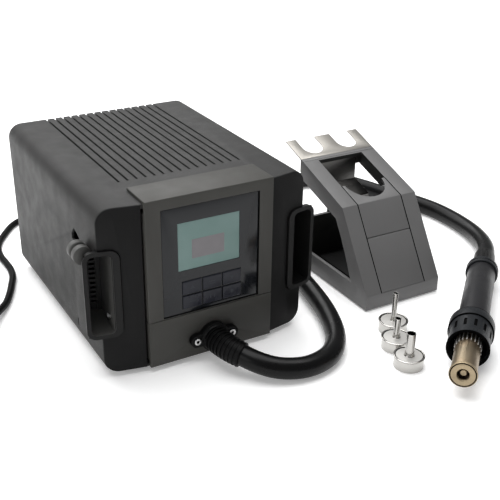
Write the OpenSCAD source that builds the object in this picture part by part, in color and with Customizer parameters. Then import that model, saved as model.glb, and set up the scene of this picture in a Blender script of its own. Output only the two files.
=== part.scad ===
// Hot air station: blower and control unit with a hose-fed handpiece, its bench stand, three
// push-on nozzles and a mains lead. The surface that everything stands on is z = 0.

/* [Station body] */
// Width over the side walls
body_w = 206; // [200:1:212]
// Height of the top cover above the bench
body_top = 166; // [160:1:170]
// Rear face of the station, measured from the front panel's face
body_d = 262; // [250:1:266]
// Radius of the four long edges
corner_r = 14; // [10:1:16]
// Wall of the cover and the base
wall = 2.5; // [2:0.5:3]
// Height of the rubber feet
foot_h = 5; // [4:0.5:6]
// Height of the seam between the cover and the base tray
tray_top = 9.6; // [9:0.2:12]

/* [Cooling grooves] */
// Number of grooves in the top
groove_count = 15; // [11:1:17]
// Distance over the first and last groove
groove_span = 122; // [110:1:126]
// Width of a groove
groove_w = 2.2; // [1.6:0.2:2.6]
// Depth of a groove
groove_deep = 3; // [2:0.5:3]
// Where the grooves start behind the front panel's face
groove_y = 60; // [50:1:80]

/* [Front panel] */
// Width of the centre panel
panel_w = 126; // [124:1:128]
// Height of the centre panel's top above the bench
panel_top = 169; // [169:0.5:170]
// Thickness of the upper panel, which is how deep the display sits
panel_t = 4; // [3.5:0.5:4.5]
// Depth of the strip that wraps over the top
strip_d = 38.5; // [30:0.5:45]
// Height of the seam between upper and lower panel
seam_z = 51.5; // [50:0.5:52.5]
// How far a front wing sits behind the centre panel
wing_back = 3.5; // [3:0.5:4]
// Sweep of the front wings, rise over run
wing_sweep = 0.2; // [0.16:0.02:0.22]
// Thickness of a front wing
wing_t = 1; // [0.8:0.1:2]

/* [Display] */
// Width of the display window
window_w = 97; // [92:1:99]
// Lower edge of the display window
window_z0 = 53.2; // [53:0.1:54]
// Upper edge of the display window
window_z1 = 158.5; // [156:0.5:160]
// Width of the screen
lcd_w = 61.5; // [56:0.5:64]
// Centre of the screen, left or right of the window's centre
lcd_x = -2.4; // [-3:0.1:0]
// Lower edge of the screen
lcd_z0 = 96.5; // [94:0.5:98]
// Upper edge of the screen
lcd_z1 = 143; // [138:0.5:144]
// Width of a button
button_w = 18.8; // [16:0.2:19]
// Height of a button
button_h = 13; // [11:0.2:13.2]
// Travel of a button
button_travel = 1; // [0.8:0.1:1]

/* [Carrying handles] */
// Outer edge of a handle from the station's centre
handle_out = 116.5; // [115.5:0.5:118]
// Inner edge of a handle from the station's centre
handle_in = 85; // [84:0.5:86]
// Lower edge of a handle
handle_z0 = 43; // [42:0.5:44]
// Upper edge of a handle
handle_z1 = 128; // [126:0.5:130]
// Band of the handle's ring
handle_band = 4; // [3.5:0.5:4.5]

/* [Hose and cord] */
// Outer diameter of the air hose
hose_d = 20; // [19:0.5:20]
// Outer diameter of the mains lead
cord_d = 7.5; // [7:0.5:7.5]
// Outer diameter of the stored coil of mains lead
coil_d = 113; // [111:1:114]

/* [Handpiece] */
// Radius of the grip tube
grip_r = 14.8; // [14:0.2:15]
// Radius of the heater tube
heater_r = 11.7; // [11.4:0.1:11.9]
// Radius of the outlet disc that nozzles push over
outlet_r = 12.6; // [12.3:0.1:12.8]
// Largest radius of the front collar
collar_r = 21.7; // [21:0.1:22]
// Radius of the rear collar
rear_r = 17; // [16.5:0.1:17.5]

/* [Stand] */
// Width of the stand
stand_w = 95; // [92:1:98]
// Width of each side strip
stand_strip = 18.8; // [17:0.2:20]
// Wall of the stand's frame
stand_wall = 4; // [3.5:0.5:4.5]

/* [Nozzles] */
// Outer diameter of a nozzle's cup
cup_d = 28.5; // [28:0.5:29]
// Height of a nozzle's cup
cup_h = 12; // [11:0.5:13]

/* [Hidden] */
$fn = 48;
eps = 0.01;

// The station's front centre, measured from the middle of the whole set
station_at = [-120.65, -45.2, 0];

// Station sections
half_w = body_w / 2;
half_panel = panel_w / 2;
wing_gap = 2;
inner_top = body_top - wall - 1.5;
panel_back = panel_t + 0.5;
function wing_y(x) = wing_back + (abs(x) - half_panel) * wing_sweep;
sweep_angle = atan(wing_sweep);

// Handle: a ring that carries a closed finger pocket, which narrows towards the back
ring_depth = 4.5;
inner_band = 6.5;
pocket_z0 = handle_z0 + handle_band;
pocket_z1 = handle_z1 - handle_band;
pocket_end = 48;
pocket_fall = 0.44;
vent_count = 10;
vent_pitch = 4.7;
vent_z0 = 63.5;
hook_clear = 0.35;
function ring_y(x) = wing_y(handle_in) - 2 + (x - handle_in) * wing_sweep;

// Buttons, two rows of three
button_dx = 20.2;
button_dz = 14.4;
button_row_z = 79;
button_gap = 0.3;
button_front = -0.8;
button_back = 8;
board_y = 10.4;
function button_x(i) = (i % 3 - 1) * button_dx;
function button_z(i) = button_row_z - floor(i / 3) * button_dz;

// Hose outlet
flange_z = 23;
flange_t = 6;
flange_screw_x = 18;
relief_bend_r = 55;
relief_turn = 36;
relief_roll = 20;
relief_ribs = 9;

// Rear panel fittings
rear_y = body_d - 6;
rear_t = 3;
switch_x = -66;
switch_z = 40;
fuse_x = -66;
fuse_z = 72;
gland_x = -25;
gland_z = 40;
gland_l = 34;
intake_x = 20;
intake_z = 92;
intake_r = 40;

// Blower
blower_y = 190;
blower_r = 52;
blower_h = 44;
rotor_r = 45;
rotor_h = 30;
shaft_r = 4;

// Handpiece: axis from the outlet disc's centre backwards; it lies on its two collars
nose = [158.2, -166.7, 25.1];
grip_turn = 42.5;
grip_tilt = 2.1;
collar_front = 47;
collar_back = 92;
grip_back = 222;
rear_front = 214;
rear_back = 226;
boot_back = 262;

// Stand profile, y backwards and z up: front foot, front rim, bend, rear top edge
stand_x = 175.5;
stand_y0 = -5;
stand_z0 = 1.5;
rim_z = 17.3;
bend_y = 46.5;
bend_z = 97.5;
rear_edge_y = 126.3;
rear_edge_z = 124;
top_slope = (rear_edge_z - bend_z) / (rear_edge_y - bend_y);
top_angle = atan(top_slope);
front_angle = atan((bend_z - rim_z) / (bend_y - stand_y0));
front_seam_z = 66.4;
opening_y0 = 73;
opening_y1 = 120.5;
flange_z0 = 109;
guard_z = 91.5;
guard_front = 96;
comb_t = 1.5;
prong_l = 32;
notch_w = 25;

// Nozzle places and their tubes: x, y, tube radius, tube height above the cup
nozzle_slim_at = [178.5, -45.5];
nozzle_medium_at = [161.5, -72];
nozzle_wide_at = [152, -103];

// Air hose: from the relief's end round the station's right side, behind the stand to the handpiece
hose_points = [
    [10.15, -40.73, 19.31], [17.1, -50.9, 16.8], [28.6, -61.7, 13.6], [42.6, -68.8, 11.5],
    [59, -72.4, 10.4], [76.7, -70.2, 10], [91.9, -63.3, 10], [105.5, -50.2, 10], [116.5, -33, 10],
    [124.4, -14.9, 10], [130.4, 2, 10], [135.3, 19.3, 10], [140.2, 40.6, 10], [144.6, 63.1, 10],
    [149.3, 86.6, 10], [155, 112.2, 10], [162, 139, 10], [169.7, 166, 10], [178.6, 196, 10],
    [190, 225, 10], [205, 255, 10], [225, 284, 10], [250, 306, 10], [279, 316.5, 10],
    [308, 314, 10], [334, 300, 10], [353, 278, 10], [364, 253, 10], [372.5, 226.4, 10],
    [382, 200.7, 10], [391.4, 174, 10], [397.6, 145.5, 10], [398.6, 115.6, 10], [395.1, 87, 10.6],
    [388, 62, 11.8], [376.6, 39, 13.6], [363.1, 21.1, 14.9], [351.3, 10.2, 15.5]
];

// Mains lead: out of the gland, down to the bench, forward past the left side and onto the coil
lead_r = cord_d / 2;
cord_points = [
    [-25, 295.7, 40], [-25, 306, 38.4], [-25, 320, 32], [-25, 334, 22], [-25.4, 347, 12.5], [-28, 359.5, 6.2],
    [-35, 370.5, 3.9], [-46, 377.9, 3.75], [-59, 380.5, 3.75], [-72, 377.9, 3.75], [-83, 370, 3.75],
    [-91.6, 359.5, 3.75], [-100.4, 346.5, 3.75], [-109, 332.5, 3.75], [-115.4, 318, 3.75], [-119, 302, 3.75],
    [-119.8, 286, 3.75], [-119, 270, 3.75], [-119.2, 254, 3.75], [-122.1, 236.6, 3.75], [-127.4, 222, 3.75],
    [-134.4, 204, 3.75], [-144.2, 183.5, 4.1], [-155.7, 166, 6.8], [-165.8, 151, 9.9]
];
tail_points = [
    [-278.8, 174.8, 6], [-278.6, 182, 8], [-278.4, 189, 10.6], [-278, 199, 14.4], [-278, 208, 17]
];
coil_at = [-226, 146];
coil_in = 29.2;
coil_h = 15;
plug_at = [-278, 209.1, 17.4];

// Helpers

module at_station() {
    translate(station_at) children();
}

// A flat outline drawn in x and z, given depth backwards from y0
module facing_front(y0, depth) {
    translate([0, y0 + depth, 0]) rotate([90, 0, 0]) linear_extrude(depth) children();
}

// A flat outline drawn in y and z, given width to the right from x0
module facing_side(x0, width) {
    translate([x0, 0, 0]) rotate([90, 0, 90]) linear_extrude(width) children();
}

// Rectangle with round corners, from its lower left corner
module round_box(x0, z0, w, h, r) {
    translate([x0 + r, z0]) square([w - 2 * r, h]);
    translate([x0, z0 + r]) square([w, h - 2 * r]);
    for (x = [x0 + r, x0 + w - r], z = [z0 + r, z0 + h - r]) translate([x, z]) circle(r);
}

module screw_head(r, h) {
    difference() {
        cylinder(h = h, r = r);
        translate([0, 0, h * 0.4]) cylinder(h = h, r = r * 0.5, $fn = 6);
    }
}

// Everything in front of the swept front wings, moved back by the given depth
module front_wedge(back) {
    far = half_w + 10;
    translate([0, 0, -20]) linear_extrude(220) polygon([
        [-far, -60], [far, -60], [far, wing_y(far) + back], [half_panel, wing_y(half_panel) + back],
        [-half_panel, wing_y(half_panel) + back], [-far, wing_y(far) + back]
    ]);
}

module body_section(inset, top_inset) {
    round_box(-half_w + inset, foot_h + inset, body_w - 2 * inset, body_top - foot_h - inset - top_inset,
        corner_r - inset);
}

// Station

module housing_shell() {
    color([0.33, 0.33, 0.34]) at_station() difference() {
        facing_front(0, body_d) difference() {
            body_section(0, 0);
            body_section(wall, body_top - inner_top);
            translate([-half_w - 1, 0]) square([body_w + 2, tray_top + 0.4]);
        }
        front_wedge(wing_t + 0.1);
        for (i = [0 : groove_count - 1])
            translate([-groove_span / 2 + i * groove_span / (groove_count - 1) - groove_w / 2, groove_y,
                body_top - groove_deep]) cube([groove_w, body_d, groove_deep + 1]);
        for (side = [-1, 1]) facing_side(side > 0 ? half_w - 6 : -half_w - 4, 10) polygon([
            [-1, handle_z0 - 0.3], [17, handle_z0 - 0.3], [17, handle_z0 + 1.2],
            [pocket_end + 0.4, handle_z0 + 1.2],
            [pocket_end + 0.4, handle_z1 - 0.6 - (pocket_end - 12) * pocket_fall], [17, handle_z1 - 2.8],
            [17, handle_z1 + 0.3], [-1, handle_z1 + 0.3]
        ]);
        facing_side(-half_w - 1, wall + 2)
            polygon([[56, 114], [56, 122.6], [68, 127.5], [75.7, 119.2], [76, 114]]);
        translate([-half_w - 1, 76, 22]) cube([wall + 2, 2.2, 8]);
    }
}

module base_tray() {
    color([0.12, 0.12, 0.13]) at_station() difference() {
        facing_front(0, body_d) difference() {
            body_section(0, 0);
            body_section(wall, body_top - inner_top);
            translate([-half_w - 1, tray_top]) square([body_w + 2, body_top]);
        }
        front_wedge(wing_t + 0.1);
        for (x = [-24 : 8 : 24]) translate([x - 1.5, 150, 0]) cube([3, 50, 10]);
    }
}

// Front wing on the side given by -1 or 1
module front_wing(side) {
    difference() {
        facing_front(0, 40) difference() {
            body_section(0.3, 0.3);
            translate([side > 0 ? -half_w : -half_panel - wing_gap, 0])
                square([half_w + half_panel + wing_gap, body_top + 5]);
            round_box(side > 0 ? handle_in - 1.1 : -half_w - 20, handle_z0 - 0.3, half_w + 21.1 - handle_in,
                handle_z1 - handle_z0 + 0.6, 9.3);
        }
        front_wedge(0);
        difference() {
            translate([-half_w - 5, 0, 0]) cube([body_w + 10, 60, body_top + 5]);
            front_wedge(wing_t);
        }
    }
}

module front_wing_left() {
    color([0.07, 0.07, 0.075]) at_station() front_wing(-1);
}

module front_wing_right() {
    color([0.07, 0.07, 0.075]) at_station() front_wing(1);
}

// Pocket seen from above, for the right-hand side: x outwards from the centre, y backwards
module pocket_outside() {
    polygon([
        [89.6, ring_y(89.6) + 2], [89.6, 42.4], [94.4, 44.4], [102.8, pocket_end], [103.4, pocket_end - 0.6],
        [114.6, ring_y(114.6) + 3], [114.6, ring_y(114.6) + 2]
    ]);
}

module pocket_inside() {
    polygon([
        [91.5, ring_y(91.5) - 2], [91.5, 40.6], [95.2, 41], [95.2, 42.4], [101.4, 44], [112.5, 12.5],
        [112.5, ring_y(112.5) - 2]
    ]);
}

// Room inside a pocket from its floor to its ceiling, which falls towards the back
module pocket_height(z0, z1) {
    facing_side(60, 70) polygon([[-5, z0], [60, z0], [60, z1 - 48 * pocket_fall], [12, z1], [-5, z1]]);
}

// Ring handle and the finger pocket behind it, for the right-hand side
module handle() {
    ring_h = handle_z1 - handle_z0;
    ring_w = (handle_out - handle_in) / cos(sweep_angle);
    translate([handle_in, ring_y(handle_in), 0]) rotate([0, 0, sweep_angle]) facing_front(0, ring_depth)
        difference() {
        round_box(0, handle_z0, ring_w, ring_h, 9);
        round_box(inner_band, handle_z0 + handle_band, ring_w - inner_band - handle_band,
            ring_h - 2 * handle_band, 5);
    }
    difference() {
        intersection() {
            translate([0, 0, handle_z0]) linear_extrude(ring_h) pocket_outside();
            pocket_height(handle_z0 + 1.6, handle_z1 - 1);
        }
        intersection() {
            translate([0, 0, handle_z0]) linear_extrude(ring_h) pocket_inside();
            pocket_height(pocket_z0, pocket_z1 + 0.4);
        }
        for (k = [0 : vent_count - 1])
            translate([98, 43, vent_z0 + k * vent_pitch]) rotate([0, 0, 14.5])
                cube([5.2, 9, 2.4], center = true);
    }
    intersection() {
        translate([0, 0, pocket_z0 - 0.5]) linear_extrude(40) pocket_inside();
        facing_side(60, 70)
            polygon([[14, pocket_z0 - 0.5], [44, pocket_z0 + 9], [60, pocket_z0 + 9], [60, pocket_z0 - 0.5]]);
    }
}

module handle_left() {
    color([0.1, 0.1, 0.105]) at_station() mirror([1, 0, 0]) handle();
}

module handle_right() {
    color([0.1, 0.1, 0.105]) at_station() handle();
}

// One screw in the inner wall of each pocket
module handle_screws() {
    color([0.7, 0.7, 0.72]) at_station() for (side = [0, 1]) mirror([side, 0, 0])
        translate([91.5, 22, 58]) rotate([0, 90, 0]) screw_head(2.6, 1.6);
}

module upper_panel() {
    color([0.27, 0.27, 0.25]) at_station() difference() {
        union() {
            facing_front(0, panel_t) translate([-half_panel, seam_z + 0.3])
                square([panel_w, panel_top - seam_z - 0.3]);
            translate([-half_panel, 0, body_top + 0.2]) cube([panel_w, strip_d, panel_top - body_top - 0.2]);
            for (x = [-half_panel, half_panel - 2])
                translate([x, panel_t - 1, seam_z + 0.3]) cube([2, 12, inner_top - seam_z - 5]);
        }
        facing_front(-1, panel_t + 2) translate([-window_w / 2, window_z0])
            square([window_w, window_z1 - window_z0]);
    }
}

module lower_panel() {
    color([0.25, 0.25, 0.23]) at_station() difference() {
        union() {
            facing_front(0, panel_t) translate([-half_panel, foot_h + 0.5])
                square([panel_w, seam_z - foot_h - 0.5]);
            for (x = [-half_panel, half_panel - 2])
                translate([x, panel_t - 1, tray_top + 2]) cube([2, 12, seam_z - tray_top - 2]);
        }
        translate([0, -1, flange_z]) rotate([-90, 0, 0]) cylinder(h = panel_t + 2, r = 11);
        for (x = [-flange_screw_x, flange_screw_x])
            translate([x, -1, flange_z]) rotate([-90, 0, 0]) cylinder(h = panel_t + 2, r = 1.6);
    }
}

module display_window() {
    color([0.1, 0.12, 0.14]) at_station() for (rim = [0, 1]) facing_front(rim ? panel_t + 0.1 : 0.4,
        rim ? 1.5 : panel_t) difference() {
        translate([-window_w / 2 + 0.15 - rim * 1.8, window_z0 + 0.15 - rim])
            square([window_w - 0.3 + rim * 3.6, window_z1 - window_z0 - 0.3 + rim * 2.5]);
        translate([lcd_x - lcd_w / 2, lcd_z0]) square([lcd_w, lcd_z1 - lcd_z0]);
        for (i = [0 : 5])
            translate([button_x(i) - button_w / 2 - button_gap, button_z(i) - button_h / 2 - button_gap])
            square([button_w + 2 * button_gap, button_h + 2 * button_gap]);
    }
}

module lcd_module() {
    color([0.42, 0.56, 0.52]) at_station() {
        facing_front(0.7, 5.3) translate([lcd_x - lcd_w / 2 + 0.1, lcd_z0 + 0.1])
            square([lcd_w - 0.2, lcd_z1 - lcd_z0 - 0.2]);
        facing_front(panel_t + 1.8, 3) translate([lcd_x - lcd_w / 2 - 3, lcd_z0 - 2])
            square([lcd_w + 6, lcd_z1 - lcd_z0 + 5]);
    }
}

module button(i) {
    color([0.2, 0.21, 0.26]) at_station() {
        facing_front(button_front, button_back - button_front)
            round_box(button_x(i) - button_w / 2, button_z(i) - button_h / 2, button_w, button_h, 1);
    }
}

module button_1() { button(0); }
module button_2() { button(1); }
module button_3() { button(2); }
module button_4() { button(3); }
module button_5() { button(4); }
module button_6() { button(5); }

module display_board() {
    color([0.05, 0.25, 0.15]) at_station() {
        facing_front(board_y, 1.6) translate([-46, 56]) square([92, 96]);
        for (i = [0 : 5]) facing_front(board_y - 1.2, 1.3) translate([button_x(i) - 3, button_z(i) - 3])
            square(6);
        facing_front(board_y + 1.5, 6) translate([10, 110]) square([18, 10]);
        facing_front(board_y + 1.5, 2) translate([-30, 100]) square([14, 14]);
    }
}

module hose_flange() {
    color([0.06, 0.06, 0.065]) at_station() difference() {
        union() {
            facing_front(-flange_t, flange_t) translate([0, flange_z]) {
                circle(14.5);
                for (x = [-flange_screw_x, flange_screw_x]) translate([x, 0]) circle(6.5);
                translate([-flange_screw_x, -6.5]) square([2 * flange_screw_x, 13]);
            }
            translate([0, -flange_t - 2, flange_z]) rotate([-90, 0, 0]) cylinder(h = 3, r1 = 12.5, r2 = 13.5);
        }
        translate([0, -flange_t - 3, flange_z]) rotate([-90, 0, 0]) cylinder(h = 20, r = 8);
        for (x = [-flange_screw_x, flange_screw_x]) translate([x, -flange_t - 1, flange_z])
            rotate([-90, 0, 0]) {
            cylinder(h = 3.2, r = 4);
            cylinder(h = 10, r = 1.6);
        }
    }
}

module flange_screws() {
    color([0.75, 0.75, 0.76]) at_station() for (x = [-flange_screw_x, flange_screw_x])
        translate([x, -flange_t + 2.2, flange_z]) rotate([90, 0, 0]) {
            screw_head(3.4, 2.6);
            translate([0, 0, -8]) cylinder(h = 8.1, r = 1.5);
        }
}

// Ribbed bend limiter between the flange and the hose, a curved sleeve that turns right and slightly down
module hose_relief() {
    color([0.06, 0.06, 0.065]) at_station() translate([0, -flange_t - 2, flange_z])
        rotate([0, relief_roll, 0])
        translate([relief_bend_r, 0, 0]) rotate([0, 0, 180]) {
            rotate_extrude(angle = relief_turn) translate([relief_bend_r, 0]) circle(11.2);
            for (k = [0 : relief_ribs - 1]) rotate([0, 0, 1.5 + k * (relief_turn - 4) / (relief_ribs - 1)])
                rotate_extrude(angle = 1.9) translate([relief_bend_r, 0]) circle(13 - k * 0.12);
        }
}

// Grooved stud on the left pocket's outer shoulder, for hanging up a cable
module cable_hook() {
    color([0.22, 0.22, 0.22]) at_station() difference() {
        translate([-111.8, 22.4, 121.5]) rotate([-90, 0, 0]) rotate_extrude() polygon([
            [0, 0], [8.4, 0], [8.4, 6], [7.8, 6.8], [4.8, 7.2], [4.8, 10.8], [7.8, 11.2], [8.4, 12],
            [8.4, 17],
            [7, 18.6], [0, 18.6]
        ]);
        translate([-hook_clear, 0, 0]) intersection() {
            translate([0, 0, 90]) linear_extrude(40) mirror([1, 0]) pocket_outside();
            translate([0, 0, hook_clear]) mirror([1, 0, 0]) pocket_height(handle_z0, handle_z1 - 1);
        }
    }
}

module rear_panel() {
    color([0.09, 0.09, 0.095]) at_station() difference() {
        facing_front(rear_y, rear_t) body_section(wall + 0.3, body_top - inner_top + 0.3);
        translate([intake_x, rear_y - 1, intake_z]) rotate([-90, 0, 0])
            cylinder(h = rear_t + 2, r = intake_r);
        translate([switch_x - 6.6, rear_y - 1, switch_z - 10.2]) cube([13.2, rear_t + 2, 20.4]);
        translate([fuse_x, rear_y - 1, fuse_z]) rotate([-90, 0, 0]) cylinder(h = rear_t + 2, r = 6.3);
        translate([gland_x, rear_y - 1, gland_z]) rotate([-90, 0, 0]) cylinder(h = rear_t + 2, r = 5.5);
    }
}

module air_filter_grille() {
    color([0.12, 0.12, 0.12]) at_station() translate([intake_x, rear_y + rear_t, intake_z])
        rotate([-90, 0, 0])
        difference() {
            cylinder(h = 3, r = intake_r + 4);
            for (r = [9 : 6 : 39]) difference() {
                translate([0, 0, -1]) cylinder(h = 5, r = r + 2);
                translate([0, 0, -2]) cylinder(h = 7, r = r - 2);
                for (a = [0 : 60 : 120]) rotate([0, 0, a]) translate([-60, -1.6, -2]) cube([120, 3.2, 7]);
            }
        }
}

module rear_screws() {
    color([0.2, 0.2, 0.2]) at_station() {
        for (x = [-92, 92], z = [26, 152])
            translate([x, rear_y + rear_t, z]) rotate([-90, 0, 0]) screw_head(3.2, 2);
        for (a = [45 : 90 : 315]) translate([intake_x, rear_y + rear_t + 3, intake_z])
            rotate([-90, 0, 0]) translate([cos(a) * (intake_r + 1), sin(a) * (intake_r + 1), 0])
                screw_head(2.2, 1.2);
    }
}

module switch_body() {
    color([0.08, 0.08, 0.08]) at_station() difference() {
        union() {
            translate([switch_x - 6.4, rear_y - 16, switch_z - 10]) cube([12.8, 16 + rear_t + eps, 20]);
            translate([switch_x - 8, rear_y + rear_t, switch_z - 12]) cube([16, 1.8, 24]);
        }
        translate([switch_x - 5.2, rear_y - 8, switch_z - 8.9]) cube([10.4, 22, 17.8]);
        translate([switch_x - 6, rear_y - 1.4, switch_z]) rotate([0, 90, 0]) cylinder(h = 12, r = 1.06);
    }
}

module power_rocker() {
    color([0.5, 0.06, 0.05]) at_station() translate([0, rear_y - 1.4, switch_z]) {
        intersection() {
            translate([switch_x - 4.9, -3.5, -8.4]) cube([9.8, 12, 16.8]);
            translate([switch_x - 5, 0, 0]) rotate([0, 90, 0]) cylinder(h = 10, r = 8.3);
            difference() {
                translate([switch_x - 6, -4, -9]) cube([12, 14, 18]);
                translate([switch_x - 6, 24.6, 0]) rotate([0, 90, 0]) cylinder(h = 12, r = 18);
            }
        }
        translate([switch_x - 5.8, 0, 0]) rotate([0, 90, 0]) cylinder(h = 11.6, r = 1);
    }
}

module fuse_holder() {
    color([0.08, 0.08, 0.08]) at_station() translate([fuse_x, rear_y + rear_t, fuse_z]) rotate([-90, 0, 0]) {
        translate([0, 0, -30]) cylinder(h = 30, r = 6);
        cylinder(h = 2, r = 8.5);
        difference() {
            cylinder(h = 7, r = 6.4);
            translate([-5, -0.8, 5.6]) cube([10, 1.6, 2]);
        }
    }
}

module station_feet() {
    color([0.05, 0.05, 0.05]) at_station() for (x = [-78, 78], y = [34, 228])
        translate([x, y, 0]) cylinder(h = foot_h, r1 = 9, r2 = 10);
}

module blower_housing() {
    color([0.15, 0.15, 0.16]) at_station() translate([intake_x, blower_y, intake_z]) difference() {
        union() {
            rotate([-90, 0, 0]) cylinder(h = blower_h, r = blower_r);
            translate([-blower_r, 0, -72]) cube([30, blower_h, 72]);
        }
        translate([0, 2.5, 0]) rotate([-90, 0, 0]) cylinder(h = blower_h - 5, r = blower_r - 2.5);
        translate([-blower_r + 2.5, 2.5, -69.5]) cube([25, blower_h - 5, 70]);
        translate([0, blower_h - 4, 0]) rotate([-90, 0, 0]) cylinder(h = 8, r = 24);
        translate([0, -1, 0]) rotate([-90, 0, 0]) cylinder(h = 5, r = shaft_r + 1);
        translate([-blower_r + 15, -1, -57]) rotate([-90, 0, 0]) cylinder(h = 5, r = 9.5);
    }
}

module blower_impeller() {
    color([0.75, 0.75, 0.7]) at_station() translate([intake_x, blower_y + 6, intake_z]) rotate([-90, 0, 0]) {
        cylinder(h = 2.5, r = rotor_r);
        cylinder(h = rotor_h, r = 9);
        translate([0, 0, rotor_h - 2.5]) difference() {
            cylinder(h = 2.5, r = rotor_r);
            translate([0, 0, -1]) cylinder(h = 5, r = 26);
        }
        for (k = [0 : 17]) rotate([0, 0, k * 20]) translate([26, -0.7, 0]) rotate([0, 0, -25])
            translate([0, 0, 1])
            cube([20, 1.4, rotor_h - 2]);
        translate([0, 0, -16]) cylinder(h = 17, r = shaft_r);
    }
}

module blower_motor() {
    color([0.3, 0.3, 0.32]) at_station() translate([intake_x, blower_y, intake_z]) rotate([90, 0, 0])
        difference() {
        union() {
            cylinder(h = 34, r = 24);
            cylinder(h = 3, r = 30);
        }
        translate([0, 0, -1]) cylinder(h = 14, r = shaft_r + 0.05);
    }
}

module air_duct() {
    color([0.2, 0.2, 0.2]) at_station() difference() {
        union() {
            translate([0, 10, flange_z + 3]) rotate([-90, 0, 0]) cylinder(h = 150, r = 11);
            translate([0, panel_t, flange_z]) rotate([-90, 0, 0]) cylinder(h = 8, r = 10.5);
            translate([-36, 150, flange_z - 6]) cube([50, 40, 26]);
        }
        translate([0, 4, flange_z + 1]) rotate([-90, 0, 0]) cylinder(h = 150, r = 8);
        translate([-34, 152, flange_z - 4]) cube([46, 36, 22]);
        translate([intake_x - blower_r + 15, 180, intake_z - 57]) rotate([-90, 0, 0])
            cylinder(h = 15, r = 6.5);
    }
}

module transformer() {
    color([0.45, 0.4, 0.3]) at_station() {
        translate([-86, 100, foot_h + wall]) cube([46, 60, 4]);
        translate([-85, 104, foot_h + wall + 3.9]) cube([44, 52, 44]);
        translate([-79, 98, foot_h + wall + 12]) cube([32, 64, 28]);
    }
}

module control_board() {
    color([0.05, 0.3, 0.12]) at_station() {
        translate([84, 90, 30]) cube([1.6, 120, 110]);
        translate([66, 110, 60]) cube([18.1, 30, 50]);
        translate([70, 160, 40]) cube([14.1, 20, 16]);
        translate([72, 150, 100]) cube([12.1, 36, 12]);
    }
}

// Handpiece: its parts are turned about the z axis, front end first, and laid along the bench

module at_handpiece() {
    at_station() translate(nose) rotate([0, 90 + grip_tilt, grip_turn]) children();
}

module outlet_disc() {
    color([0.72, 0.62, 0.42]) at_handpiece() rotate_extrude()
        polygon([[5.4, 0.8], [6.2, 0], [outlet_r - 0.6, 0], [outlet_r, 0.6], [outlet_r, 2.6], [5.4, 2.6]]);
}

module heater_tube() {
    color([0.74, 0.66, 0.5]) at_handpiece() difference() {
        rotate_extrude() polygon([
            [heater_r - 0.7, 2.6], [heater_r, 2.6], [heater_r, collar_back - 6],
            [heater_r - 0.7, collar_back - 6]
        ]);
        for (a = [0 : 30 : 150]) rotate([0, 0, a]) translate([-20, -0.8, 44]) cube([40, 1.6, 12]);
    }
}

module heater_core() {
    color([0.85, 0.84, 0.8]) at_handpiece() difference() {
        union() {
            translate([0, 0, 8]) cylinder(h = 76, r = heater_r - 1.2);
            translate([0, 0, 80]) cylinder(h = 4, r = heater_r - 0.76);
        }
        for (a = [0 : 60 : 300]) rotate([0, 0, a]) translate([6.2, 0, 7]) cylinder(h = 90, r = 1.8);
    }
}

module front_collar() {
    color([0.2, 0.22, 0.25]) at_handpiece() rotate_extrude() polygon([
        [17.4, collar_front], [20, collar_front], [19.5, 54], [collar_r - 1.2, 77.6], [collar_r, 78.6],
        [collar_r, collar_back - 1.5], [collar_r - 1.5, collar_back], [grip_r + 0.1, collar_back],
        [grip_r + 0.1, 86.1], [heater_r + 0.1, 86.1], [heater_r + 0.1, 82], [17.2, 78]
    ]);
}

module grip_tube() {
    color([0.3, 0.3, 0.33]) at_handpiece() rotate_extrude() polygon([
        [grip_r - 1.8, 86.2], [grip_r, 86.2], [grip_r, grip_back], [grip_r - 1.8, grip_back]
    ]);
}

module rear_collar() {
    color([0.18, 0.2, 0.23]) at_handpiece() rotate_extrude() polygon([
        [grip_r + 0.1, rear_front], [rear_r - 0.8, rear_front], [rear_r, rear_front + 0.8], [rear_r, 218],
        [rear_r - 1, 218.6], [rear_r - 1, 220], [rear_r, 220.6], [rear_r, rear_back - 1],
        [rear_r - 1, rear_back],
        [11, rear_back], [11, grip_back + 0.1], [grip_r + 0.1, grip_back + 0.1]
    ]);
}

module grip_boot() {
    color([0.05, 0.05, 0.055]) at_handpiece() rotate_extrude() polygon([
        [0, rear_back], [13.4, rear_back], [13.4, rear_back + 4], [12.2, rear_back + 6], [11.2, boot_back],
        [0, boot_back]
    ]);
}

// Stand

// Bent sheet profile in y and z: front rim, bend and rear top edge, with its thickness underneath
module stand_profile(t) {
    polygon([
        [stand_y0, rim_z], [bend_y, bend_z], [rear_edge_y, rear_edge_z],
        [rear_edge_y, rear_edge_z - t / cos(top_angle)],
        [bend_y + t * tan((front_angle - top_angle) / 2) * 1.9, bend_z - t * 0.82],
        [stand_y0 + t / sin(front_angle), rim_z]
    ]);
}

module stand_side() {
    difference() {
        polygon([
            [stand_y0, stand_z0], [stand_y0, rim_z], [bend_y, bend_z], [rear_edge_y, rear_edge_z],
            [rear_edge_y, stand_z0]
        ]);
        polygon([[24, 22], [36.6, 47.8], [45.8, 64.2], [57, 81.5], [130, 104.2], [130, 22]]);
    }
}

module stand_frame() {
    right = stand_x + stand_w;
    color([0.33, 0.33, 0.34]) at_station() {
        facing_side(stand_x, stand_wall) stand_side();
        facing_side(right - stand_wall, stand_wall) stand_side();
        facing_side(stand_x, stand_strip) stand_profile(stand_wall);
        facing_side(right - stand_strip, stand_strip) stand_profile(stand_wall);
        facing_side(stand_x, stand_w) intersection() {
            stand_profile(stand_wall);
            translate([opening_y1, 0]) square([20, 200]);
        }
        translate([stand_x, rear_edge_y - 4, flange_z0]) cube([stand_w, 4, 123 - flange_z0]);
        for (x = [stand_x + stand_strip - 2.5, right - stand_strip]) facing_side(x, 2.5) stand_flange();
        translate([stand_x, rear_edge_y - 4, stand_z0]) cube([stand_w, 4, 55 - stand_z0]);
        translate([stand_x, stand_y0, stand_z0]) cube([stand_w, 4, rim_z - stand_z0]);
    }
}

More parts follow.
